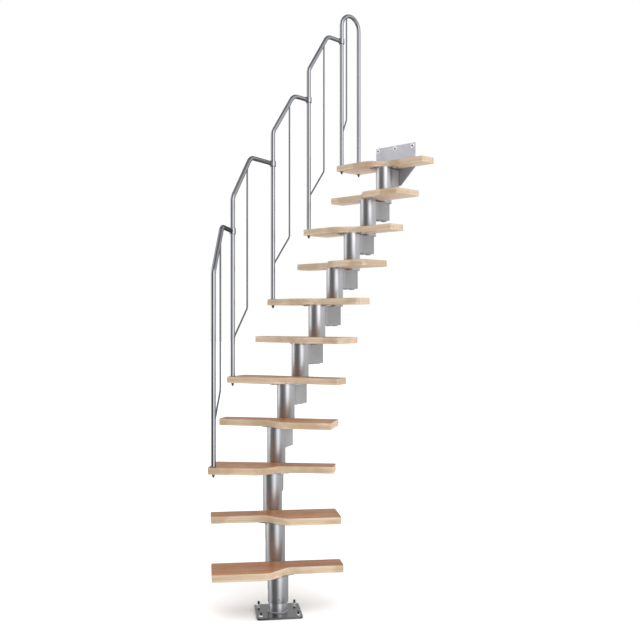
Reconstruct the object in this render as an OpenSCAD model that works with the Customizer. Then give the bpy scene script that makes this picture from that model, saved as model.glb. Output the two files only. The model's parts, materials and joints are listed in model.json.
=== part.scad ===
// Central stringer staircase: alternating paddle treads on a spine of stepped round tubes.
// Millimetres, +Z up. The origin is the centre of the base plate's underside, and +Y points
// at the wall that the top bracket bolts to. "u" runs to the right across a tread and "v"
// runs in its direction of travel, both from the axis of the tube that carries it.

/* [Staircase] */
// Height from one tread surface to the next
rise = 222; // [200:1:270]
// Distance between the axes of two neighbouring spine tubes
spine_step = 162; // [150:1:195]
// Turn of each tread from the one below, clockwise seen from above; its length sets the treads
tread_turn = [0, 0, 14, 6, 14, 8, 11, 0, 0, 0, 0];
// Turn of each connector from the tread above it, clockwise seen from above
link_turn = [0, 0, -2, 4, 2, 2, -4, -4, -4, -4, 0];

/* [Treads] */
// Overall width of a tread
tread_w = 646; // [540:1:780]
// Thickness of the laminated board
tread_t = 36; // [28:1:45]
// Front edge of the deep wing, ahead of the tube axis
deep_front = 106; // [88:1:130]
// Front edge of the shallow wing, ahead of the tube axis
shallow_front = 9; // [5:1:30]
// Radius of both bends of the step in the front edge
step_r = 60; // [20:1:75]
// Slope of the straight middle of that step
step_angle = 45; // [35:1:60]
// Corner radius of a tread in plan
tread_corner_r = 9; // [3:1:15]
// Clear gap between a tread's rear edge and the next tube
rear_gap = 2; // [2:0.5:8]

/* [Spine tubes] */
// Outside diameter of a spine tube
tube_d = 100; // [84:1:108]
// Wall thickness of a spine tube
tube_wall = 5; // [3:0.5:7]
// Length of a socket that reaches up inside a tube
socket_h = 60; // [40:1:80]
// Wall thickness of a socket
socket_wall = 4; // [3:0.5:6]
// Radial clearance of pieces that slide into or around each other
fit_gap = 0.3; // [0.2:0.1:0.5]
// Thickness of the carrier bar on top of a tube
carrier_t = 6; // [4:1:8]
// Distance from the tube axis to a carrier bar's end screw
carrier_reach = 65; // [60:1:80]
// Width of the carrier bar
carrier_w = 56; // [40:1:70]
// Angle of the carrier bar, which follows the tread's step
carrier_angle = 25; // [15:1:35]

/* [Connectors] */
// Width of a connector across the spine
connector_w = 76; // [60:1:84]
// Height of a connector below the tread
connector_h = 120; // [100:1:145]
// How far a connector runs on past the next tube's axis
connector_over = 18; // [12:1:30]
// Thickness of the round seat that the next tube stands on
seat_t = 9; // [8:1:14]
// Spacing of the flutes on a connector's sides
flute_pitch = 7; // [5:0.5:9]
// Depth of a flute
flute_depth = 1.6; // [1:0.2:2.4]
// Diameter of the two bolt cups under a connector
cup_d = 35; // [28:1:40]
// Depth of a bolt cup below the connector
cup_h = 6; // [4:1:8]
// Wall thickness of a bolt cup
cup_wall = 4; // [3:0.5:6]
// Chamfer of a connector's two rear corners
block_chamfer = 6; // [3:1:10]

/* [Base plate] */
// Side of the square base plate
base_w = 220; // [200:1:280]
// Thickness of the base plate
base_t = 10; // [8:1:15]
// Corner radius of the base plate
base_corner_r = 14; // [8:1:18]
// Distance of a bolt hole from the two nearest sides
base_hole_inset = 21; // [19:1:26]
// Diameter of a base bolt hole
base_hole_d = 12; // [10:1:14]
// Bare length of the base socket below the first tube
base_reveal = 46; // [20:1:60]

/* [Wall plate] */
// Width of the wall plate
wall_w = 330; // [280:1:400]
// Thickness of the wall plate
wall_t = 8; // [6:1:12]
// Height of the wall plate above the top tread
wall_up = 120; // [90:1:150]
// Drop of the wall plate below the top tread's upper face
wall_down = 145; // [120:1:156]
// Width of the wall plate at its lower end
wall_foot_w = 92; // [84:1:140]
// Spacing of the three wall bolt holes
wall_hole_pitch = 145; // [110:1:160]
// Distance of the wall bolt holes from the plate's top edge
wall_hole_inset = 20; // [15:1:30]
// Diameter of a wall bolt hole
wall_hole_d = 11; // [9:1:14]
// Corner radius of the wall plate
wall_corner_r = 6; // [3:1:10]

/* [Railing] */
// Lowest tread with a rail post; every second tread above it has one too
first_rail = 3; // [1:2:9]
// Distance of a post's axis from the tread's left end and its front edge
post_inset = 26; // [20:1:32]
// Diameter of the handrail tube
rail_d = 26; // [22:1:30]
// Diameter of the infill rod
rod_d = 10; // [8:1:12]
// Height of a post's lower bend above its tread
post_h = 1010; // [900:1:1100]
// Height of the handrail's level end above its tread
rail_h = 1263; // [1220:1:1350]
// Distance along the handrail from a post to the upper bend
rail_run = 182; // [160:1:200]
// Centre-line radius of the handrail's bends
rail_bend_r = 60; // [45:1:80]
// Distance from a post to its infill rod
rod_off = 146; // [120:1:150]
// Height of the rod's bend above the tread
rod_bend_h = 387; // [330:1:450]
// Height of the rod's lower weld above the tread
rod_foot_h = 203; // [150:1:260]
// Height of the clamp collar that grips the next post
clamp_h = 34; // [26:1:40]
// Wall thickness of the clamp collar
clamp_wall = 5; // [4:1:7]
// Length of the flattened tube end, up to the next post's axis
flat_len = 46; // [40:1:55]
// Length over which the round tube narrows into its flattened end
swage_len = 15; // [10:1:20]
// Thickness of the flattened tube end
flat_t = 12; // [8:1:16]
// Height of the flattened tube end
flat_h = 30; // [20:1:32]
// Height of the top rail's arch springing above its tread
arch_h = 920; // [850:1:1000]
// Distance of the top rail's infill rod from its first post
top_rod_off = 46; // [40:1:60]
// Height of the top rail's rod bend above the tread
top_rod_bend = 311; // [270:1:360]
// Height of the top rail's lower rod weld above the tread
top_rod_foot = 198; // [150:1:240]
// Diameter of the threaded stud under each post
stud_d = 12; // [10:1:14]
// Length of a stud below the tread
stud_out = 24; // [18:1:30]
// Width across the corners of a rail nut
nut_d = 21; // [18:1:24]
// Height of a rail nut
nut_h = 10; // [8:1:12]

/* [Hidden] */
treads = len(tread_turn);
tube_r = tube_d / 2;
socket_r = tube_r - tube_wall - fit_gap;
tread_rear = spine_step - tube_r - rear_gap;
wall_v = tread_rear + rear_gap;
connector_rear = spine_step + connector_over;
cup_near = (tube_r + spine_step) / 2;
base_hole_at = base_w / 2 - base_hole_inset;
// Bends are a little fatter than the straight bars, which reach into them by "lap".
bend_swell = 0.2;
lap = 1;
rail_bend_d = rail_d + bend_swell;
rod_knee_d = rod_d + bend_swell;
rail_treads = [for (n = [first_rail : 2 : treads]) n];
$fn = 48;

// ---- Places ----

function sum_to(list, n) = n < 1 ? 0 : list[n - 1] + sum_to(list, n - 1);
function heading(n) = sum_to(tread_turn, n) - sum_to(tread_turn, treads);
function link_heading(n) = heading(n) + link_turn[n - 1];
function ahead(angle) = [sin(angle), cos(angle)];
function across(angle) = [cos(angle), -sin(angle)];
function spine_at(n) = n == 1 ? [0, 0] : spine_at(n - 1) + spine_step * ahead(link_heading(n - 1));
function on_tread(n, u, v) = spine_at(n) + u * across(heading(n)) + v * ahead(heading(n));
function tread_top(n) = n * rise;
function tread_under(n) = n * rise - tread_t;
function tube_foot(n) = n == 1 ? base_t + base_reveal : tread_under(n - 1);
function is_odd(n) = n % 2 == 1;

// A post stands near the outer front corner of its tread's deep left wing.
function post_at(n) = on_tread(n, post_inset - tread_w / 2, post_inset - deep_front);
function rear_post_at(n) = on_tread(n, post_inset - tread_w / 2, tread_rear - post_inset);
function rail_heading(n) =
    let (d = post_at(n + 2) - post_at(n))
    atan2(d[0], d[1]);
function rail_span(n) = norm(post_at(n + 2) - post_at(n));

module at_spine(n, angle) {
    p = spine_at(n);
    translate([p[0], p[1], 0]) rotate([0, 0, -angle]) children();
}

// Local X runs along the handrail and local Z is up from the tread's top face.
module at_post(n, angle) {
    p = post_at(n);
    translate([p[0], p[1], tread_top(n)]) rotate([0, 0, 90 - angle]) children();
}

// ---- Outlines ----

// Points of an arc that rounds the corner p between a and b with radius r.
function fillet(a, p, b, r, steps) =
    let (
        e = (a - p) / norm(a - p),
        f = (b - p) / norm(b - p),
        half = acos(e * f) / 2,
        centre = p + (e + f) / norm(e + f) * r / sin(half),
        start = p + e * r / tan(half) - centre,
        side = e[0] * f[1] - e[1] * f[0] > 0 ? -1 : 1,
        sweep = side * (180 - 2 * half)
    )
    [for (i = [0 : steps])
        let (t = sweep * i / steps)
        centre + [start[0] * cos(t) - start[1] * sin(t), start[0] * sin(t) + start[1] * cos(t)]];

// An outline from corners given as [x, y, radius]. A large radius gets more points.
function rounded(corners) =
    let (k = len(corners))
    [for (i = [0 : k - 1])
        let (
            a = corners[(i + k - 1) % k],
            p = corners[i],
            b = corners[(i + 1) % k]
        )
        each fillet([a[0], a[1]], [p[0], p[1]], [b[0], b[1]], p[2], ceil(2 + p[2] / 10))];

module tread_outline() {
    half_w = tread_w / 2;
    half_step = (deep_front - shallow_front) / 2 / tan(step_angle);
    polygon(rounded([
        [-half_w, tread_rear, tread_corner_r],
        [-half_w, -deep_front, tread_corner_r],
        [-half_step, -deep_front, step_r],
        [half_step, -shallow_front, step_r],
        [half_w, -shallow_front, tread_corner_r],
        [half_w, tread_rear, tread_corner_r]
    ]));
}

// The outline of a fluted block from v = 0 to the given rear end.
module fluted_outline(rear) {
    half_w = connector_w / 2;
    first = tube_r + flute_pitch / 2;
    flutes = floor((rear - block_chamfer - first) / flute_pitch);
    side = [for (i = [0 : flutes - 1], step = [
        [half_w, 0], [half_w - flute_depth, 1], [half_w - flute_depth, 3], [half_w, 4]
    ]) [step[0], first + i * flute_pitch + step[1] * flute_pitch / 6]];
    k = len(side);
    polygon(concat(
        [[half_w, 0]],
        side,
        [[half_w, rear - block_chamfer], [half_w - block_chamfer, rear]],
        [[block_chamfer - half_w, rear], [-half_w, rear - block_chamfer]],
        [for (i = [k - 1 : -1 : 0]) [-side[i][0], side[i][1]]],
        [[-half_w, 0]]
    ));
}

// ---- Pieces ----

module base_plate() {
    color([0.30, 0.30, 0.31]) rotate([0, 0, -heading(1)]) {
        difference() {
            union() {
                linear_extrude(base_t) polygon(rounded([
                    [-base_w / 2, -base_w / 2, base_corner_r],
                    [base_w / 2, -base_w / 2, base_corner_r],
                    [base_w / 2, base_w / 2, base_corner_r],
                    [-base_w / 2, base_w / 2, base_corner_r]
                ]));
                cylinder(h = base_t + base_reveal + socket_h, r = socket_r);
            }
            translate([0, 0, base_t])
                cylinder(h = base_reveal + socket_h + 1, r = socket_r - socket_wall);
            for (x = [-1, 1], y = [-1, 1])
                translate([x * base_hole_at, y * base_hole_at, -1])
                    cylinder(h = base_t + 2, d = base_hole_d);
        }
    }
}

// A tube with its carrier bar welded on top; the bar lies under the tread's deep wing.
module spine_tube(n) {
    foot = tube_foot(n);
    top = tread_under(n) - carrier_t;
    side = is_odd(n) ? 1 : -1;
    color([0.70, 0.71, 0.73]) at_spine(n, heading(n)) {
        translate([0, 0, foot]) difference() {
            cylinder(h = top - foot, r = tube_r);
            translate([0, 0, -1]) cylinder(h = top - foot + 1, r = tube_r - tube_wall);
        }
        translate([0, 0, top]) rotate([0, 0, side * carrier_angle]) {
            cylinder(h = carrier_t, r = tube_r - tube_wall / 2);
            for (x = [-carrier_reach, carrier_reach])
                translate([x, 0, 0]) cylinder(h = carrier_t, d = carrier_w);
            translate([-carrier_reach, -carrier_w / 2, 0])
                cube([2 * carrier_reach, carrier_w, carrier_t]);
        }
    }
}

// The block behind a tube that carries the next tube on its seat and socket.
module connector(n) {
    under = tread_under(n);
    foot = under - connector_h;
    color([0.58, 0.59, 0.60]) at_spine(n, link_heading(n)) difference() {
        union() {
            translate([0, 0, foot]) linear_extrude(connector_h - seat_t)
                fluted_outline(connector_rear);
            translate([0, spine_step, under - seat_t]) cylinder(h = seat_t, r = tube_r);
            translate([0, spine_step, under]) cylinder(h = socket_h, r = socket_r);
            for (v = [cup_near, spine_step])
                translate([0, v, foot - cup_h]) cylinder(h = cup_h + 1, d = cup_d);
        }
        translate([0, 0, foot - cup_h - 1])
            cylinder(h = connector_h + cup_h + 2, r = tube_r + fit_gap);
        translate([0, spine_step, under])
            cylinder(h = socket_h + 1, r = socket_r - socket_wall);
        for (v = [cup_near, spine_step])
            translate([0, v, foot - cup_h - 1]) cylinder(h = cup_h + 1, d = cup_d - 2 * cup_wall);
    }
}

module wall_connector() {
    n = treads;
    color([0.58, 0.59, 0.60]) at_spine(n, heading(n))
        translate([0, 0, tread_under(n) - connector_h]) difference() {
            linear_extrude(connector_h - seat_t) fluted_outline(wall_v);
            translate([0, 0, -1]) cylinder(h = connector_h + 2, r = tube_r + fit_gap);
        }
}

module wall_plate() {
    n = treads;
    top = tread_top(n) + wall_up;
    foot = tread_top(n) - wall_down;
    color([0.72, 0.73, 0.76]) at_spine(n, heading(n)) translate([0, wall_v, 0])
        difference() {
            translate([0, wall_t, 0]) rotate([90, 0, 0]) linear_extrude(wall_t)
                polygon(rounded([
                    [-wall_w / 2, top, wall_corner_r],
                    [-wall_w / 2, tread_under(n), wall_corner_r],
                    [-wall_foot_w / 2, foot, wall_corner_r],
                    [wall_foot_w / 2, foot, wall_corner_r],
                    [wall_w / 2, tread_under(n), wall_corner_r],
                    [wall_w / 2, top, wall_corner_r]
                ]));
            for (i = [-1, 0, 1])
                translate([i * wall_hole_pitch, -1, top - wall_hole_inset])
                    rotate([-90, 0, 0]) cylinder(h = wall_t + 2, d = wall_hole_d);
        }
}

module tread(n) {
    color([0.85, 0.72, 0.55]) difference() {
        at_spine(n, heading(n)) translate([0, 0, tread_under(n)]) linear_extrude(tread_t)
            mirror([is_odd(n) ? 0 : 1, 0, 0]) tread_outline();
        for (p = stud_places(n))
            translate([p[0], p[1], tread_under(n) - 1])
                cylinder(h = tread_t + 2, d = stud_d + 2 * fit_gap);
    }
}

function stud_places(n) =
    !is_odd(n) || n < first_rail ? [] :
    n == treads ? [post_at(n), rear_post_at(n)] : [post_at(n)];

// The round bar of a bend in the X-Z plane: it enters along "from" and turns by "turn".
module bend(radius, turn, d) {
    rotate([90, 0, 0]) rotate_extrude(angle = turn) translate([radius, 0]) circle(d = d);
}

// A straight bar between two points of the X-Z plane.
module bar(a, b, d) {
    run = b - a;
    translate([a[0], 0, a[1]]) rotate([0, atan2(run[0], run[1]), 0])
        cylinder(h = norm(run), d = d);
}

// The threaded stud under a post, through the tread.
module stud() {
    translate([0, 0, -tread_t - stud_out]) cylinder(h = tread_t + stud_out + 1, d = stud_d);
}

module rail(n) {
    if (n < treads) flight_rail(n);
    else top_rail(n);
}

// Post, sloping handrail, level end and the collar that grips the next post.
module flight_rail(n) {
    slope = atan2(rail_run, rail_h - post_h);
    low_cut = rail_bend_r * tan(slope / 2);
    high_cut = rail_bend_r * tan((90 - slope) / 2);
    along = [sin(slope), cos(slope)];
    low = [0, post_h];
    high = [rail_run, rail_h];
    span = rail_span(n);
    collar_r = rail_d / 2 + fit_gap + clamp_wall;
    rod_top = post_h + rod_off / tan(slope);
    color([0.62, 0.63, 0.65]) at_post(n, rail_heading(n)) difference() {
        union() {
            stud();
            bar([0, 0], low - [0, low_cut - lap], rail_d);
            translate([rail_bend_r, 0, post_h - low_cut]) rotate([0, 180, 0])
                mirror([0, 0, 1]) bend(rail_bend_r, slope, rail_bend_d);
            bar(low + (low_cut - lap) * along, high - (high_cut - lap) * along, rail_d);
            translate([rail_run + high_cut, 0, rail_h - rail_bend_r]) rotate([0, -90, 0])
                bend(rail_bend_r, 90 - slope, rail_bend_d);
            bar(high + [high_cut - lap, 0], [span - flat_len, rail_h], rail_d);
            translate([span - flat_len, 0, rail_h]) rotate([0, 90, 0])
                cylinder(h = swage_len, d1 = rail_d, d2 = flat_t / 2);
            translate([span - flat_len + swage_len / 3, -flat_t / 2, rail_h - flat_h / 2])
                cube([flat_len - swage_len / 3, flat_t, flat_h]);
            translate([span, 0, rail_h - clamp_h / 2]) cylinder(h = clamp_h, r = collar_r);
            bar([rod_off, rod_bend_h], [rod_off, rod_top], rod_d);
            translate([rod_off, 0, rod_bend_h]) sphere(d = rod_knee_d);
            bar([0, rod_foot_h], [rod_off, rod_bend_h], rod_d);
        }
        translate([span, 0, rail_h - clamp_h / 2 - 1])
            cylinder(h = clamp_h + 2, d = rail_d + 2 * fit_gap);
    }
}

// The arched rail of the top tread, with two feet on that tread.
module top_rail(n) {
    span = tread_rear + deep_front - 2 * post_inset;
    arch_r = span / 2;
    rod_top = arch_h + sqrt(arch_r * arch_r - (arch_r - top_rod_off) * (arch_r - top_rod_off));
    color([0.62, 0.63, 0.65]) at_post(n, heading(n)) {
        for (x = [0, span]) translate([x, 0, 0]) {
            stud();
            cylinder(h = arch_h, d = rail_d);
        }
        translate([arch_r, 0, arch_h]) bend(arch_r, 180, rail_d);
        bar([top_rod_off, top_rod_bend], [top_rod_off, rod_top], rod_d);
        translate([top_rod_off, 0, top_rod_bend]) sphere(d = rod_knee_d);
        bar([0, top_rod_foot], [top_rod_off, top_rod_bend], rod_d);
    }
}

module rail_nuts() {
    color([0.25, 0.25, 0.26]) for (n = rail_treads, p = stud_places(n))
        translate([p[0], p[1], tread_under(n) - nut_h]) difference() {
            cylinder(h = nut_h, d = nut_d, $fn = 6);
            translate([0, 0, -1]) cylinder(h = nut_h + 2, d = stud_d + 2 * fit_gap);
        }
}

base_plate();
for (n = [1 : treads]) spine_tube(n);
for (n = [1 : treads - 1]) connector(n);
wall_connector();
wall_plate();
for (n = [1 : treads]) tread(n);
for (i = [1 : len(rail_treads)]) rail(rail_treads[i - 1]);
rail_nuts();
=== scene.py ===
import json
import math

import bmesh
import bpy
from mathutils import Matrix, Vector


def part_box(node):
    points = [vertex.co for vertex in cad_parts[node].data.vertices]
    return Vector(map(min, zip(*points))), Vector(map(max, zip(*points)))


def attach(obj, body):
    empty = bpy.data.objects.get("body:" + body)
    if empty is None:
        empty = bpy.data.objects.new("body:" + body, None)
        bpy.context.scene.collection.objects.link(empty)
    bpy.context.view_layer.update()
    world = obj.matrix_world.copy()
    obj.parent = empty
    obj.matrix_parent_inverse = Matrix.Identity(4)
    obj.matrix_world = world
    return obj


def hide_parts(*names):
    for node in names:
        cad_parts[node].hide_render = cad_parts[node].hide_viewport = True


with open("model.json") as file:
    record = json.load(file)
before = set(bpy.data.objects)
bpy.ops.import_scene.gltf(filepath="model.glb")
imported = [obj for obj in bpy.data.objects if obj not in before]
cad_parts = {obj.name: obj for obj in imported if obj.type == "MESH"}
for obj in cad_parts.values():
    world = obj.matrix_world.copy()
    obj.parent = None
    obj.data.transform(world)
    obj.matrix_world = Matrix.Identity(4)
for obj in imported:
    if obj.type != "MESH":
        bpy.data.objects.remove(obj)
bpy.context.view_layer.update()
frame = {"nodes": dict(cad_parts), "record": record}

MM = 0.001

# ---- Sizes of the stair, in metres, and places read from the frame ----

TREADS = sum(name.startswith("tread_") for name in frame["nodes"])
RAILS = sum(name.startswith("rail_") and name != "rail_nuts" for name in frame["nodes"])

TUBE_R = 50 * MM
TUBE_WALL = 5 * MM
CARRIER_T = 6 * MM
CARRIER_REACH = 65 * MM
CARRIER_W = 56 * MM
CARRIER_ANGLE = math.radians(25)
TREAD_T = 36 * MM
EDGE_PLIES = 3
BASE_T = 10 * MM
SOCKET_R = 44.7 * MM
CUP_NEAR = 106 * MM
CUP_H = 6 * MM

RAIL_R = 13 * MM
RAIL_H = 1263 * MM
RAIL_RUN = 182 * MM
RAIL_BEND_R = 60 * MM
POST_H = 1010 * MM
FLAT_LEN = 46 * MM
FLAT_T = 12 * MM
FLAT_H = 32 * MM
COLLAR_IN = 13.3 * MM
COLLAR_OUT = 18.3 * MM
CLAMP_H = 34 * MM
ROD_R = 5 * MM
ROD_OFF = 146 * MM
ROD_BEND_H = 387 * MM
ROD_FOOT_H = 203 * MM
ARCH_H = 920 * MM
TOP_ROD_OFF = 46 * MM
TOP_ROD_BEND = 311 * MM
TOP_ROD_FOOT = 198 * MM

STUD_R = 6 * MM
STUD_OUT = 18 * MM
NUT_H = 10 * MM
NUT_AF = 16 * MM
NUT_TURN = 0.4
ANCHOR_R = 5.8 * MM
ANCHOR_OUT = 22 * MM
ANCHOR_NUT_H = 8 * MM
ANCHOR_NUT_AF = 18 * MM
WASHER_T = 1.7 * MM
WASHER_R = 11 * MM
SCREW_UP = 20 * MM
SOFT = 0.8 * MM


def tube_axis(n):
    """The plan position of a spine tube's axis, the middle of its symmetric carrier bar."""
    low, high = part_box(f"spine_tube_{n}")
    return Vector(((low.x + high.x) / 2, (low.y + high.y) / 2, 0))


def tread_heading(n):
    """A tread's direction of travel, clockwise from +Y: square to its longest, rear edge."""
    mesh = frame["nodes"][f"tread_{n}"].data
    longest, ahead = 0.0, Vector((0, 1, 0))
    for edge in mesh.edges:
        a, b = (mesh.vertices[i].co for i in edge.vertices)
        run = b - a
        middle = (a + b) / 2 - tube_axis(n)
        square = abs(run.x * middle.x + run.y * middle.y) < 0.08 * run.length
        if abs(run.z) < 1e-5 and run.length > longest + 1e-4 and square:
            side = Vector((-run.y, run.x, 0)).normalized()
            longest = run.length
            ahead = side if side.dot(middle) > 0 else -side
    return math.atan2(ahead.x, ahead.y)


HEADINGS = {n: tread_heading(n) for n in range(1, TREADS + 1)}
AXES = {n: tube_axis(n) for n in range(1, TREADS + 1)}


def tread_top(n):
    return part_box(f"tread_{n}")[1].z


def at_tread(n, z):
    """Local X runs across the tread, local Y in its direction of travel, from the tube's axis."""
    place = AXES[n] + Vector((0, 0, z))
    return Matrix.Translation(place) @ Matrix.Rotation(-HEADINGS[n], 4, "Z")


def at_carrier(n, z):
    """Local X runs along the carrier bar, which odd treads turn one way and even ones the other."""
    side = 1 if n % 2 else -1
    return at_tread(n, z) @ Matrix.Rotation(side * CARRIER_ANGLE, 4, "Z")


def mount(name):
    return next(m for m in frame["record"]["mounts"] if m["name"] == name)


def nut_places():
    """The middle of each rail nut, from the separate solids of the CAD node."""
    bm = bmesh.new()
    bm.from_mesh(frame["nodes"]["rail_nuts"].data)
    bmesh.ops.remove_doubles(bm, verts=bm.verts, dist=1e-6)
    left, places = set(bm.verts), []
    while left:
        island, grow = set(), [next(iter(left))]
        while grow:
            vert = grow.pop()
            if vert in island:
                continue
            island.add(vert)
            grow.extend(e.other_vert(vert) for e in vert.link_edges)
        left -= island
        low = Vector([min(v.co[k] for v in island) for k in range(3)])
        high = Vector([max(v.co[k] for v in island) for k in range(3)])
        places.append(Vector(((low.x + high.x) / 2, (low.y + high.y) / 2, high.z)))
    bm.free()
    return sorted(places, key=lambda p: (round(p.z, 3), p.y))


POSTS = nut_places()


# ---- Node trees ----

# Places of the colour sockets on a Mix node, whose sockets share their names.
MIX_A, MIX_B, MIX_RESULT = 6, 7, 2


class Graph:
    """A short way to build a node tree."""

    def __init__(self, tree):
        self.tree = tree

    def add(self, kind, **settings):
        node = self.tree.nodes.new(kind)
        for key, value in settings.items():
            setattr(node, key, value)
        return node

    def plug(self, value, socket):
        if isinstance(value, bpy.types.NodeSocket):
            self.tree.links.new(value, socket)
        else:
            socket.default_value = value

    def fill(self, node, **sockets):
        """Sets or links a node's inputs by name, with _ for a space."""
        for name, value in sockets.items():
            self.plug(value, node.inputs[name.replace("_", " ")])
        return node

    def maths(self, operation, a, b=0.0):
        node = self.add("ShaderNodeMath", operation=operation)
        self.plug(a, node.inputs[0])
        self.plug(b, node.inputs[1])
        return node.outputs[0]

    def spread(self, value, low, high, to_low=0.0, to_high=1.0):
        """Maps low..high to to_low..to_high, held at both ends."""
        node = self.add("ShaderNodeMapRange")
        self.fill(node, Value=value, From_Min=low, From_Max=high, To_Min=to_low, To_Max=to_high)
        return node.outputs[0]

    def blend(self, factor, a, b):
        node = self.add("ShaderNodeMix", data_type="RGBA")
        self.plug(factor, node.inputs["Factor"])
        for place, value in ((MIX_A, a), (MIX_B, b)):
            self.plug((*value, 1.0) if isinstance(value, tuple) else value, node.inputs[place])
        return node.outputs[MIX_RESULT]


class Paint(Graph):
    """A material. Its patterns lie in the mesh's own space, or in that of a mesh attribute."""

    def __init__(self, name, attribute=None):
        self.material = bpy.data.materials.new(name)
        self.material.use_nodes = True
        super().__init__(self.material.node_tree)
        self.shader = self.tree.nodes["Principled BSDF"]
        if attribute:
            pattern = self.add("ShaderNodeAttribute", attribute_name=attribute)
            self.place = pattern.outputs["Vector"]
        else:
            self.place = self.mesh_space()

    def mesh_space(self):
        return self.add("ShaderNodeTexCoord").outputs["Object"]

    def stretched(self, scale, offset=(0, 0, 0)):
        node = self.add("ShaderNodeMapping")
        return self.fill(node, Vector=self.place, Scale=scale, Location=offset).outputs[0]

    def noise(self, scale, detail, roughness, vector=None, distortion=0.0):
        node = self.add("ShaderNodeTexNoise")
        self.fill(node, Vector=self.place if vector is None else vector, Scale=scale,
                  Detail=detail, Roughness=roughness, Distortion=distortion)
        return node.outputs["Fac"]

    def share(self, amount, mask, under, over):
        """Lays an amount of the colour over on the colour under, where the mask is 1."""
        return self.blend(self.maths("MULTIPLY", mask, amount), under, over)

    def bump(self, height, strength, distance):
        node = self.add("ShaderNodeBump")
        self.fill(node, Height=height, Strength=strength, Distance=distance)
        self.plug(node.outputs[0], self.shader.inputs["Normal"])

    def finish(self, **sockets):
        self.fill(self.shader, **sockets)
        return self.material


# ---- Materials ----


def beech():
    """Lacquered laminated beech: a warm brown top with long grain, a pale underside and edges.

    It follows the attribute "local": X along the grain, Z up from the top of the tread.
    """
    n = Paint("beech", "local")
    split = n.add("ShaderNodeSeparateXYZ")
    n.plug(n.place, split.inputs[0])
    depth = split.outputs["Z"]
    normal = n.add("ShaderNodeSeparateXYZ")
    n.plug(n.add("ShaderNodeNewGeometry").outputs["Normal"], normal.inputs[0])
    top = n.spread(normal.outputs["Z"], 0.6, 0.9)
    under = n.spread(normal.outputs["Z"], -0.6, -0.9)

    streaks = n.noise(1.0, 5.0, 0.65, n.stretched((2.4, 60, 60)), 0.5)
    bands = n.noise(1.0, 2.0, 0.5, n.stretched((0.9, 15, 15), (3.1, 1.7, 0.4)), 1.2)
    pores = n.noise(1.0, 2.0, 0.6, n.stretched((24, 560, 560)))
    staves = n.add("ShaderNodeTexBrick", offset=0.37, squash=1.0)
    n.fill(staves, Vector=n.stretched((1, 1, 0), (0.13, 0.021, 0)), Scale=1.0,
           Mortar_Size=0.0004, Mortar_Smooth=0.3, Bias=0.0, Brick_Width=0.41, Row_Height=0.043,
           Color1=(0.0, 0.0, 0.0, 1), Color2=(1.0, 1.0, 1.0, 1), Mortar=(0.35, 0.35, 0.35, 1))
    grain = n.spread(streaks, 0.34, 0.66)
    pits = n.spread(pores, 0.56, 0.7)

    def board(light, dark, bright, pit):
        colour = n.blend(grain, light, dark)
        colour = n.share(0.5, n.spread(bands, 0.42, 0.66), colour, bright)
        colour = n.share(0.25, staves.outputs["Color"], colour, bright)
        return n.share(0.35, pits, colour, pit)

    face = board((0.31, 0.135, 0.052), (0.165, 0.060, 0.020), (0.38, 0.185, 0.078),
                 (0.10, 0.036, 0.014))
    back = board((0.62, 0.47, 0.35), (0.52, 0.37, 0.26), (0.68, 0.55, 0.43),
                 (0.34, 0.21, 0.13))

    ripple = n.maths("MULTIPLY", n.maths("SUBTRACT", streaks, 0.5), 0.16)
    ply = n.maths("ADD", n.maths("MULTIPLY", depth, -EDGE_PLIES / TREAD_T), ripple)
    inner = n.maths("PINGPONG", n.maths("FLOOR", ply), 1.0)
    off_middle = n.maths("ABSOLUTE", n.maths("SUBTRACT", n.maths("FRACT", ply), 0.5))
    glue = n.spread(off_middle, 0.42, 0.49)
    half = TREAD_T / 2
    # painted shade: a mask for a dark band along the top and bottom arrises of the edges
    arris_shade = n.spread(n.maths("ABSOLUTE", n.maths("ADD", depth, half)), half - 1.6 * MM, half)
    patches = n.noise(5.0, 2.0, 0.5, n.mesh_space())

    edge = n.blend(n.spread(streaks, 0.35, 0.7), (0.66, 0.54, 0.41), (0.47, 0.35, 0.235))
    edge = n.share(0.40, inner, edge, (0.49, 0.36, 0.24))
    edge = n.share(0.55, glue, edge, (0.32, 0.21, 0.12))
    edge = n.share(0.35, pits, edge, (0.31, 0.20, 0.12))
    edge = n.share(0.5, n.spread(patches, 0.48, 0.58), edge, (0.36, 0.245, 0.14))
    # painted shade: darkens the edge colour along both arrises
    edge = n.share(0.6, arris_shade, edge, (0.22, 0.14, 0.08))

    worn = n.noise(9.0, 3.0, 0.6)
    n.bump(n.maths("ADD", n.maths("MULTIPLY", streaks, 0.5), n.maths("MULTIPLY", pores, 0.5)),
           0.25, 0.0004)
    return n.finish(Base_Color=n.blend(under, n.blend(top, edge, face), back),
                    Roughness=n.spread(worn, 0.3, 0.7, 0.36, 0.50),
                    Specular_IOR_Level=0.22, Coat_Weight=0.04, Coat_Roughness=0.2)


def enamel(name, light, dark, metallic, rough, peel=0.03, coat=0.0, rim=1.0):
    """Sprayed metallic paint: a fine flake, a faint orange peel and a slow drift of tone.

    rim below 1 dulls what the paint reflects at a glancing angle.
    """
    n = Paint(name)
    flake = n.noise(2400.0, 1.0, 0.5)
    drift = n.noise(5.0, 2.0, 0.4)
    colour = n.blend(n.spread(drift, 0.35, 0.65), light, dark)
    glint = tuple(min(1.0, 1.35 * c) for c in light)
    n.bump(n.noise(180.0, 2.0, 0.4), peel, 0.0002)
    return n.finish(Base_Color=n.share(0.10, n.spread(flake, 0.6, 0.8), colour, glint),
                    Metallic=metallic, Roughness=n.spread(drift, 0.3, 0.7, rough, rough + 0.04),
                    Coat_Weight=coat, Coat_Roughness=0.08, Specular_Tint=(rim, rim, rim, 1.0))


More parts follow.
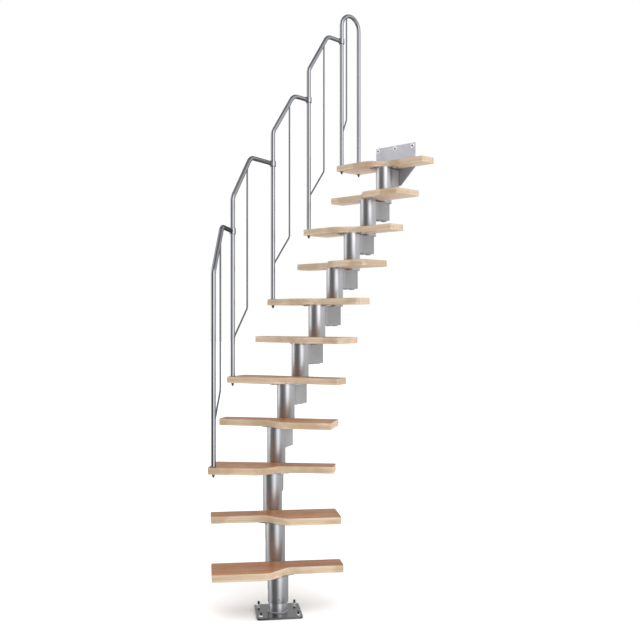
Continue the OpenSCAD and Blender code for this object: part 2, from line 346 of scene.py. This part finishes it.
def plated(name, colour, rough):
    """Zinc-plated or blackened steel of small fasteners, slightly mottled."""
    n = Paint(name)
    mottle = n.noise(420.0, 4.0, 0.65)
    dull = tuple(0.7 * c for c in colour)
    n.bump(mottle, 0.10, 0.0002)
    return n.finish(Base_Color=n.blend(n.spread(mottle, 0.35, 0.7), colour, dull),
                    Metallic=0.95, Roughness=n.spread(mottle, 0.3, 0.7, rough, rough + 0.12))


BEECH = beech()
SPINE = enamel("spine_enamel", (0.50, 0.505, 0.525), (0.46, 0.465, 0.485),
               metallic=0.90, rough=0.30)
BLOCK = enamel("block_enamel", (0.365, 0.37, 0.38), (0.32, 0.325, 0.335),
               metallic=0.55, rough=0.32, peel=0.06)
BASE = enamel("base_enamel", (0.094, 0.094, 0.098), (0.074, 0.074, 0.078),
              metallic=0.75, rough=0.14, coat=0.12)
PLATE = enamel("wall_plate_enamel", (0.50, 0.505, 0.55), (0.43, 0.435, 0.48),
               metallic=0.55, rough=0.32, peel=0.04)
RAIL = enamel("rail_enamel", (0.36, 0.37, 0.395), (0.33, 0.34, 0.365),
              metallic=1.0, rough=0.10, peel=0.005, rim=0.25)
ROD = enamel("rod_enamel", (0.17, 0.175, 0.185), (0.145, 0.15, 0.16),
             metallic=0.90, rough=0.22, peel=0.005)
DARK_STEEL = plated("blackened_steel", (0.10, 0.10, 0.105), 0.28)
STEEL = plated("dull_steel", (0.30, 0.30, 0.31), 0.26)
ZINC = plated("bright_zinc", (0.74, 0.75, 0.77), 0.16)
PALE_RING = enamel("pale_ring", (0.92, 0.92, 0.93), (0.86, 0.86, 0.87),
                   metallic=0.15, rough=0.34, peel=0.02)


# ---- Mesh helpers ----


def piece(name, mesh, material, replaced=()):
    """Puts a finished mesh into the scene as a named piece of the stair."""
    mesh.materials.clear()
    mesh.materials.append(material)
    obj = bpy.data.objects.new(name, mesh)
    bpy.context.scene.collection.objects.link(obj)
    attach(obj, "root")
    if replaced:
        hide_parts(*replaced)
    return obj


def refined(node, material, bevel, local=None):
    """The CAD node's own shape with flat faces joined up and its edges softly rounded.

    With a matrix in local, the mesh also keeps each corner's place in that matrix's axes.
    """
    bm = bmesh.new()
    bm.from_mesh(frame["nodes"][node].data)
    bmesh.ops.remove_doubles(bm, verts=bm.verts, dist=2e-6)
    bmesh.ops.dissolve_limit(bm, angle_limit=math.radians(0.6), verts=bm.verts, edges=bm.edges)
    bmesh.ops.recalc_face_normals(bm, faces=bm.faces)
    bm.verts.index_update()
    corners = [v.co[:] for v in bm.verts]
    faces = [[v.index for v in f.verts] for f in bm.faces]
    bm.free()
    mesh = bpy.data.meshes.new(node + "_fine")
    mesh.from_pydata(corners, [], faces)
    mesh.polygons.foreach_set("use_smooth", [True] * len(mesh.polygons))
    if local is not None:
        inward = local.inverted()
        places = mesh.attributes.new("local", "FLOAT_VECTOR", "POINT")
        places.data.foreach_set("vector", [c for v in mesh.vertices for c in inward @ v.co])
    obj = piece(node + "_fine", mesh, material, (node,))
    rounding = obj.modifiers.new("rounding", "BEVEL")
    rounding.limit_method = "ANGLE"
    rounding.angle_limit = math.radians(40)
    rounding.width = bevel
    rounding.segments = 2
    rounding.use_clamp_overlap = True
    rounding.harden_normals = True
    return obj


def circle(count):
    """The cosine and sine of equal steps round a circle."""
    turns = [2 * math.pi * i / count for i in range(count)]
    return [(math.cos(a), math.sin(a)) for a in turns]


class Batch:
    """Collects many small shapes into one mesh. Each shape is placed by a matrix."""

    def __init__(self):
        self.verts, self.faces = [], []

    def rings(self, rings, matrix, closed=False, caps=True):
        """Joins rings of equally many points, in order, into a skin."""
        start, count = len(self.verts), len(rings[0])
        for ring in rings:
            self.verts.extend(matrix @ Vector(p) for p in ring)
        for k in range(len(rings) if closed else len(rings) - 1):
            a, b = start + k * count, start + ((k + 1) % len(rings)) * count
            self.faces.extend([a + i, a + (i + 1) % count, b + (i + 1) % count, b + i]
                              for i in range(count))
        if caps and not closed:
            self.faces.append([start + i for i in reversed(range(count))])
            self.faces.append([start + (len(rings) - 1) * count + i for i in range(count)])

    def lathe(self, profile, matrix, sides=48, closed=False, caps=True):
        """Turns a profile of (radius, height) points about local Z."""
        rings = [[(r * c, r * s, z) for c, s in circle(sides)] for r, z in profile]
        self.rings(rings, matrix, closed, caps)

    def washer(self, inner, outer, low, high, matrix):
        """A flat ring with square edges."""
        profile = [(inner, low), (outer, low), (outer, high), (inner, high)]
        self.lathe(profile, matrix, 36, closed=True)

    def nut(self, across, height, bore, matrix):
        """A hexagon nut with its six corners turned off at the ends."""
        corner, flat, chamfer = across / 2 / math.cos(math.pi / 6), across / 2 * 0.98, 0.72 * MM
        profile = [(bore, 0), (flat, 0), (corner, chamfer), (corner, height - chamfer),
                   (flat, height), (bore, height)]
        self.lathe(profile, matrix, 6, closed=True)

    def mesh(self, name, degrees=35):
        """The batch as a mesh, smooth except at edges sharper than so many degrees."""
        mesh = bpy.data.meshes.new(name)
        mesh.from_pydata([v[:] for v in self.verts], [], self.faces)
        bm = bmesh.new()
        bm.from_mesh(mesh)
        bmesh.ops.recalc_face_normals(bm, faces=bm.faces)
        bm.to_mesh(mesh)
        bm.free()
        mesh.polygons.foreach_set("use_smooth", [True] * len(mesh.polygons))
        mesh.set_sharp_from_angle(angle=math.radians(degrees))
        return mesh


def thread(radius, low, high):
    """Profile of a threaded stud from low to high, with a chamfered tip at high."""
    pitch, depth = 1.5 * MM, 0.6 * MM
    count = int(abs(high - low) / pitch)
    step = (high - low) / count
    points = []
    for k in range(count):
        points.append((radius, low + step * k))
        points.append((radius - depth, low + step * (k + 0.5)))
    points.append((radius - depth, high - step * 0.3))
    points.append((radius - 2 * depth, high))
    return points


def arc(x, z, radius, start, end, steps):
    """Points of an arc in the X-Z plane; angles in radians from +X towards +Z."""
    angles = [start + (end - start) * k / steps for k in range(steps + 1)]
    return [Vector((x + radius * math.cos(a), 0, z + radius * math.sin(a))) for a in angles]


def sweep(path, sizes, matrix, sides=28):
    """A bar along a path in the X-Z plane. sizes gives each ring's half height and half width."""
    side = Vector((0, 1, 0))
    rings = []
    for k, (centre, (high, wide)) in enumerate(zip(path, sizes)):
        before, after = path[max(k - 1, 0)], path[min(k + 1, len(path) - 1)]
        up = (after - before).normalized().cross(side)
        rings.append([centre + up * high * c + side * wide * s for c, s in circle(sides)])
    bar = Batch()
    bar.rings(rings, matrix)
    return bar


# ---- Spine and treads ----


def spine_tubes():
    """The wall of each tube with softened ends, and the carrier bar on top of it."""
    inner = TUBE_R - TUBE_WALL
    for n in range(1, TREADS + 1):
        node = f"spine_tube_{n}"
        low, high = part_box(node)
        foot, top = low.z, high.z - CARRIER_T
        tube = Batch()
        tube.lathe([(inner, foot), (TUBE_R - SOFT, foot),
                    (TUBE_R - 0.3 * SOFT, foot + 0.3 * SOFT), (TUBE_R, foot + SOFT),
                    (TUBE_R, top - SOFT), (TUBE_R - SOFT, top), (inner, top)],
                   Matrix.Translation(AXES[n]), 96, closed=True)
        wall, bar = f"{node}_wall", f"{node}_carrier"
        piece(wall, tube.mesh(wall), SPINE, (node,))
        piece(bar, carrier(at_carrier(n, top)).mesh(bar), SPINE, (node,))


def carrier(matrix):
    """The flat bar on top of a tube: a round middle and a long rounded plate."""
    turns = [math.pi * k / 14 for k in range(15)]
    rings = []
    for inset, z in ((SOFT, 0), (0, SOFT), (0, CARRIER_T - SOFT), (SOFT, CARRIER_T)):
        r = CARRIER_W / 2 - inset
        left = [(-CARRIER_REACH - r * math.sin(a), r * math.cos(a), z) for a in turns]
        right = [(CARRIER_REACH + r * math.sin(a), -r * math.cos(a), z) for a in turns]
        rings.append(left + right)
    bar = Batch()
    bar.rings(rings, matrix)
    hub = TUBE_R - TUBE_WALL / 2
    bar.lathe([(hub, 0.3 * MM), (hub, CARRIER_T - 0.3 * MM)], matrix, 64)
    return bar


def spine_blocks():
    """The blocks behind the tubes, the wall plate, and the base plate with its silver socket."""
    for n in range(1, TREADS):
        refined(f"connector_{n}", BLOCK, 0.5 * MM)
    refined("wall_connector", BLOCK, 0.5 * MM)
    refined("wall_plate", PLATE, 1.2 * MM)
    base = refined("base_plate", BASE, 1.6 * MM)
    base.data.materials.append(SPINE)
    for face in base.data.polygons:
        if face.center.z > BASE_T + 0.1 * MM:
            face.material_index = 1


def treads():
    for n in range(1, TREADS + 1):
        refined(f"tread_{n}", BEECH, 1.4 * MM, at_tread(n, tread_top(n)))


# ---- Handrail ----


def between_posts(first, second, tread):
    """The distance of two posts, and axes at the first: X towards the second, Z up."""
    run = Vector((second.x - first.x, second.y - first.y, 0))
    place = Vector((first.x, first.y, tread_top(tread)))
    turn = Matrix.Rotation(math.atan2(run.y, run.x), 4, "Z")
    return run.length, Matrix.Translation(place) @ turn


def rail_piece(number, part, batch, material):
    name = f"rail_{number}_{part}"
    piece(name, batch.mesh(name, 40), material, (f"rail_{number}",))


def flight_rail(number, first, second, tread):
    """A post that leans into the handrail, whose flattened end is clamped to the next post."""
    span, matrix = between_posts(first, second, tread)
    slope = math.atan2(RAIL_RUN, RAIL_H - POST_H)
    low_cut = RAIL_BEND_R * math.tan(slope / 2)
    high_cut = RAIL_BEND_R * math.tan((math.pi / 2 - slope) / 2)
    path = [Vector((0, 0, 0)), Vector((0, 0, 0.3)), Vector((0, 0, 0.7))]
    path += arc(RAIL_BEND_R, POST_H - low_cut, RAIL_BEND_R, math.pi, math.pi - slope, 10)
    path += arc(RAIL_RUN + high_cut, RAIL_H - RAIL_BEND_R, RAIL_BEND_R,
                math.pi - slope, math.pi / 2, 14)

    start, swage, steps = span - FLAT_LEN, 0.55 * FLAT_LEN, 8
    path.append(Vector((start, 0, RAIL_H)))
    sizes = [(RAIL_R, RAIL_R)] * len(path)
    for k in range(1, steps + 1):
        t = k / steps
        ease = t * t * (3 - 2 * t)
        path.append(Vector((start + swage * t, 0, RAIL_H)))
        sizes.append((RAIL_R + (FLAT_H / 2 - RAIL_R) * ease,
                      RAIL_R + (FLAT_T / 2 - RAIL_R) * ease))
    path.append(Vector((span - COLLAR_IN - 1.5 * MM, 0, RAIL_H)))
    sizes.append((FLAT_H / 2, FLAT_T / 2))

    tube = sweep(path, sizes, matrix)
    soft, half = 1.2 * MM, CLAMP_H / 2
    tube.lathe([(COLLAR_IN, -half), (COLLAR_OUT - soft, -half), (COLLAR_OUT, soft - half),
                (COLLAR_OUT, half - soft), (COLLAR_OUT - soft, half), (COLLAR_IN, half)],
               matrix @ Matrix.Translation((span, 0, RAIL_H)), 48, closed=True)
    rail_piece(number, "tube", tube, RAIL)
    infill(number, matrix, ROD_OFF, ROD_FOOT_H, ROD_BEND_H, POST_H + ROD_OFF / math.tan(slope))


def infill(number, matrix, off, foot, bend, top):
    """The thin rod of a rail: up from the post, a tight bend, then upright to the handrail."""
    fillet = 12 * MM
    rise = Vector((off, 0, bend - foot)).normalized()
    corner = Vector((off, 0, bend))
    start, end = corner - rise * fillet, corner + Vector((0, 0, fillet))
    path = [Vector((0, 0, foot))]
    path += [start.lerp(corner, k / 6).lerp(corner.lerp(end, k / 6), k / 6) for k in range(7)]
    path += [Vector((off, 0, (bend + top) / 2)), Vector((off, 0, top))]
    rod = sweep(path, [(ROD_R, ROD_R)] * len(path), matrix, 18)
    rail_piece(number, "rod", rod, ROD)


def top_rail(number, first, second, tread):
    """The arch over the top tread: two posts joined by a half circle."""
    span, matrix = between_posts(first, second, tread)
    half = span / 2
    path = [Vector((0, 0, 0)), Vector((0, 0, ARCH_H / 2))]
    path += arc(half, ARCH_H, half, math.pi, 0, 28)
    path += [Vector((span, 0, ARCH_H / 2)), Vector((span, 0, 0))]
    rail_piece(number, "tube", sweep(path, [(RAIL_R, RAIL_R)] * len(path), matrix), RAIL)
    top = ARCH_H + math.sqrt(half ** 2 - (half - TOP_ROD_OFF) ** 2)
    infill(number, matrix, TOP_ROD_OFF, TOP_ROD_FOOT, TOP_ROD_BEND, top)


def handrail():
    """A rail from each post to the next, two treads up, and the arch on the top tread."""
    for number in range(1, RAILS):
        flight_rail(number, POSTS[number - 1], POSTS[number], 2 * number + 1)
    first, second = sorted(POSTS[RAILS - 1:], key=lambda p: p.y)
    top_rail(RAILS, first, second, TREADS)


def rail_fixings():
    """Threaded studs, washers and nuts under the posts, and the flat ring each post stands on."""
    studs, nuts, rings = Batch(), Batch(), Batch()
    washer_t = 1.5 * MM
    inner, outer = RAIL_R + 0.1 * MM, RAIL_R + 3.5 * MM
    for place in POSTS:
        at = Matrix.Translation(place)
        shank = [(STUD_R, TREAD_T + 1 * MM), (STUD_R, 0)]
        studs.lathe(shank + thread(STUD_R, 0, -STUD_OUT), at, 24)
        turned = at @ Matrix.Translation((0, 0, -NUT_H)) @ Matrix.Rotation(NUT_TURN, 4, "Z")
        nuts.nut(NUT_AF, NUT_H - washer_t, STUD_R + 0.2 * MM, turned)
        nuts.washer(STUD_R + 0.3 * MM, 10 * MM, -washer_t, -0.1 * MM, at)
        rings.lathe([(inner, 0), (outer, 0), (outer, 1.6 * MM), (outer - 1 * MM, 2.4 * MM),
                     (inner, 2.4 * MM)],
                    at @ Matrix.Translation((0, 0, TREAD_T)), 40, closed=True)
    nodes = [f"rail_{k}" for k in range(1, RAILS + 1)]
    piece("rail_studs", studs.mesh("rail_studs", 20), STEEL, nodes)
    piece("rail_nuts_fine", nuts.mesh("rail_nuts_fine"), STEEL, ("rail_nuts",))
    piece("rail_post_rings", rings.mesh("rail_post_rings"), DARK_STEEL)


# ---- Fasteners and welds ----


def bead(radius, size, matrix, ripples):
    """A weld bead round a tube: a fat ring whose size pulses with the welder's steps."""
    rings = []
    for i in range(ripples * 6):
        a = 2 * math.pi * i / (ripples * 6)
        fat = size * (1 + 0.22 * math.sin(a * ripples) + 0.12 * math.sin(5 * a + 1))
        rings.append([((radius + fat * c) * math.cos(a), (radius + fat * c) * math.sin(a), fat * s)
                      for c, s in circle(8)])
    batch = Batch()
    batch.rings(rings, matrix, closed=True)
    return batch


def base_details():
    """Floor anchors with nuts and washers in the base plate's holes, and the socket's weld."""
    dims = mount("base_bolts")["dims"]
    reach = dims["pcd_mm"] / 2 * MM
    bolts, nuts = Batch(), Batch()
    for k in range(dims["count"]):
        angle = math.radians(45 + 90 * k) - HEADINGS[1]
        at = Matrix.Translation((reach * math.cos(angle), reach * math.sin(angle), BASE_T))
        shank = [(ANCHOR_R, 0.5 * MM - BASE_T), (ANCHOR_R, ANCHOR_NUT_H)]
        bolts.lathe(shank + thread(ANCHOR_R, ANCHOR_NUT_H, ANCHOR_OUT), at, 28)
        nuts.washer(ANCHOR_R + 0.3 * MM, WASHER_R, 0, WASHER_T, at)
        turned = at @ Matrix.Translation((0, 0, WASHER_T)) @ Matrix.Rotation(k, 4, "Z")
        nuts.nut(ANCHOR_NUT_AF, ANCHOR_NUT_H, ANCHOR_R + 0.2 * MM, turned)
    foot = Matrix.Translation((0, 0, BASE_T + 1 * MM))
    weld = bead(SOCKET_R + 0.8 * MM, 2.6 * MM, foot, 46)
    piece("base_anchor_studs", bolts.mesh("base_anchor_studs", 20), DARK_STEEL)
    piece("base_anchor_nuts", nuts.mesh("base_anchor_nuts"), ZINC)
    piece("base_weld", weld.mesh("base_weld", 60), SPINE)


def foot_screw():
    """The sunk socket screw that locks the first tube on the base socket, low on its front."""
    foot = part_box("spine_tube_1")[0].z
    front = at_tread(1, foot + SCREW_UP) @ Matrix.Translation((0, -TUBE_R, 0))
    facing = front @ Matrix.Rotation(math.pi / 2, 4, "X")
    rim = (2.5 * MM, 1.1 * MM)
    screw = Batch()
    screw.lathe([(4.6 * MM, -1 * MM), (4.6 * MM, 0.4 * MM), (4.0 * MM, 1.0 * MM), rim],
                facing, 28, caps=False)
    screw.lathe([rim, (2.4 * MM, -0.8 * MM)], facing, 6)
    piece("foot_screw", screw.mesh("foot_screw"), STEEL)


def tread_screws():
    """Pan-head screws up through the carrier bars into the treads, two at each end."""
    heads = Batch()
    for n in range(1, TREADS + 1):
        bar = at_carrier(n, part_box(f"spine_tube_{n}")[1].z - CARRIER_T)
        for x in (-1, 1):
            for y in (-1, 1):
                spot = Matrix.Translation((x * (CARRIER_REACH + 6 * MM), y * 13 * MM, 0))
                heads.lathe([(5 * MM, 0.2 * MM), (5 * MM, -1.2 * MM), (4.2 * MM, -2.4 * MM),
                             (2.6 * MM, -2.9 * MM), (1.6 * MM, -2.9 * MM), (0.6 * MM, -1.2 * MM)],
                            bar @ spot, 24)
    piece("tread_screws", heads.mesh("tread_screws"), ZINC)


def block_bolts():
    """Socket-head bolts up inside the two cups under each block."""
    rim = (4.2 * MM, -4.4 * MM)
    heads = Batch()
    for n in range(1, TREADS):
        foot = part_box(f"connector_{n}")[0].z
        step = AXES[n + 1] - AXES[n]
        for share in (CUP_NEAR / step.length, 1.0):
            at = Matrix.Translation(AXES[n] + step * share + Vector((0, 0, foot + CUP_H)))
            heads.lathe([(8 * MM, 0.5 * MM), (8 * MM, -3.4 * MM), (7.2 * MM, -4.4 * MM), rim],
                        at, 32, caps=False)
            heads.lathe([rim, (4.0 * MM, -0.4 * MM)], at, 6)
    piece("block_bolts", heads.mesh("block_bolts"), DARK_STEEL)


def wall_washers():
    """Pale dished rings round the three holes of the wall plate, and a dark sleeve in each as
    painted shade inside the hole.
    """
    pattern = mount("wall_bolts")
    half = pattern["dims"]["spacing_x_mm"] / 2 * MM
    rear = Vector(pattern["pos_m"])
    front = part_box("wall_plate")[0].y
    deep, near = front - rear.y + 0.5 * MM, 0.7 * MM
    rings, shade_sleeves = Batch(), Batch()
    for x in (rear.x - half, rear.x, rear.x + half):
        at = Matrix.Translation((x, front, rear.z)) @ Matrix.Rotation(math.pi / 2, 4, "X")
        rings.lathe([(7.0 * MM, 0.05 * MM), (7.2 * MM, 1.2 * MM), (9 * MM, 2.0 * MM),
                     (12.5 * MM, 1.8 * MM), (15.2 * MM, 0.8 * MM), (15.5 * MM, 0.05 * MM)],
                    at, 48, closed=True)
        # painted shade: a dark sleeve and lip line each hole where the hole's wall is in shade
        shade_sleeves.lathe([(5.4 * MM, deep), (5.4 * MM, 0.3 * MM), (7.4 * MM, 0.3 * MM),
                       (7.4 * MM, near), (4.6 * MM, near), (4.6 * MM, deep)],
                      at, 36, closed=True)
    piece("wall_plate_rings", rings.mesh("wall_plate_rings"), PALE_RING)
    piece("wall_plate_shade_sleeves", shade_sleeves.mesh("wall_plate_shade_sleeves"), DARK_STEEL)


# ---- Studio ----

CAMERA_AT = (3.307, -2.994, 1.419)
CAMERA_TURN = math.radians(45.22)
LENS_MM = 51.38
SENSOR_MM = 36.0
SHIFT_UP = 0.0025
FLOOR_R = 60
FLOOR_DROP = 0.1 * MM

# The room's light as the stair sees it: degrees from the camera towards its right, and level.
ROOM = [(-180, 0.26), (-118, 0.34), (-106, 0.78), (-88, 0.76), (-72, 0.08), (-32, 0.045),
        (-8, 0.10), (10, 0.66), (18, 1.0), (36, 1.0), (50, 0.43), (84, 0.38), (130, 0.33),
        (180, 0.26)]
ROOM_STRENGTH = 2.8
CEILING = (0.80, 0.80, 0.80)
CEILING_MIRRORED = (0.10, 0.10, 0.10)


def camera():
    data = bpy.data.cameras.new("camera")
    data.lens = LENS_MM
    data.sensor_width = SENSOR_MM
    data.shift_y = SHIFT_UP
    obj = bpy.data.objects.new("camera", data)
    obj.location = CAMERA_AT
    obj.rotation_euler = (math.pi / 2, 0, CAMERA_TURN)
    bpy.context.scene.collection.objects.link(obj)
    bpy.context.scene.camera = obj
    bpy.context.view_layer.update()
    return obj


def floor():
    mesh = bpy.data.meshes.new("floor")
    rim = [(FLOOR_R * c, FLOOR_R * s, -FLOOR_DROP) for c, s in circle(96)]
    mesh.from_pydata(rim, [], [list(range(len(rim)))])
    obj = bpy.data.objects.new("floor", mesh)
    n = Paint("pale_floor")
    colour = n.blend(n.noise(3.0, 3.0, 0.5), (0.90, 0.90, 0.90), (0.93, 0.93, 0.93))
    mesh.materials.append(n.finish(Base_Color=colour, Roughness=0.6, Specular_IOR_Level=0.2))
    bpy.context.scene.collection.objects.link(obj)
    obj.visible_glossy = False


def studio(cam):
    """A white room with a long dark flag on the camera's left and a tall softbox on its right."""
    world = bpy.data.worlds.new("studio")
    bpy.context.scene.world = world
    world.use_nodes = True
    world.node_tree.nodes.clear()
    n = Graph(world.node_tree)
    direction = n.add("ShaderNodeTexCoord").outputs["Generated"]

    def along(axis):
        node = n.add("ShaderNodeVectorMath", operation="DOT_PRODUCT")
        n.plug(direction, node.inputs[0])
        n.plug(axis, node.inputs[1])
        return node.outputs["Value"]

    axes = cam.matrix_world.to_3x3()
    turn = n.maths("ARCTAN2", along(axes @ Vector((1, 0, 0))), along(axes @ Vector((0, 0, 1))))
    room = n.add("ShaderNodeValToRGB")
    n.plug(n.spread(turn, -math.pi, math.pi), room.inputs[0])
    stops = room.color_ramp.elements
    while len(stops) < len(ROOM):
        stops.new(0.5)
    for stop, (degrees, level) in zip(stops, ROOM):
        stop.position = (degrees + 180) / 360
        stop.color = (level, level, level, 1)

    height = along((0, 0, 1))
    walls = n.add("ShaderNodeVectorMath", operation="SCALE")
    n.plug(room.outputs[0], walls.inputs[0])
    n.fill(walls, Scale=n.spread(height, -0.40, 0.0, 0.45, 1.0))
    ray = n.add("ShaderNodeLightPath").outputs
    ceiling = n.blend(ray["Is Glossy Ray"], CEILING, CEILING_MIRRORED)
    light = n.blend(n.spread(height, 0.55, 0.95), walls.outputs["Vector"], ceiling)

    lit = n.fill(n.add("ShaderNodeBackground"), Color=light, Strength=ROOM_STRENGTH)
    seen = n.fill(n.add("ShaderNodeBackground"), Color=(1, 1, 1, 1))
    chosen = n.fill(n.add("ShaderNodeMixShader"), Fac=ray["Is Camera Ray"])
    n.plug(lit.outputs[0], chosen.inputs[1])
    n.plug(seen.outputs[0], chosen.inputs[2])
    n.fill(n.add("ShaderNodeOutputWorld"), Surface=chosen.outputs[0])


bpy.context.scene.view_settings.view_transform = "Standard"
view = camera()
floor()
studio(view)
spine_tubes()
spine_blocks()
treads()
handrail()
rail_fixings()
base_details()
foot_screw()
tread_screws()
block_bolts()
wall_washers()
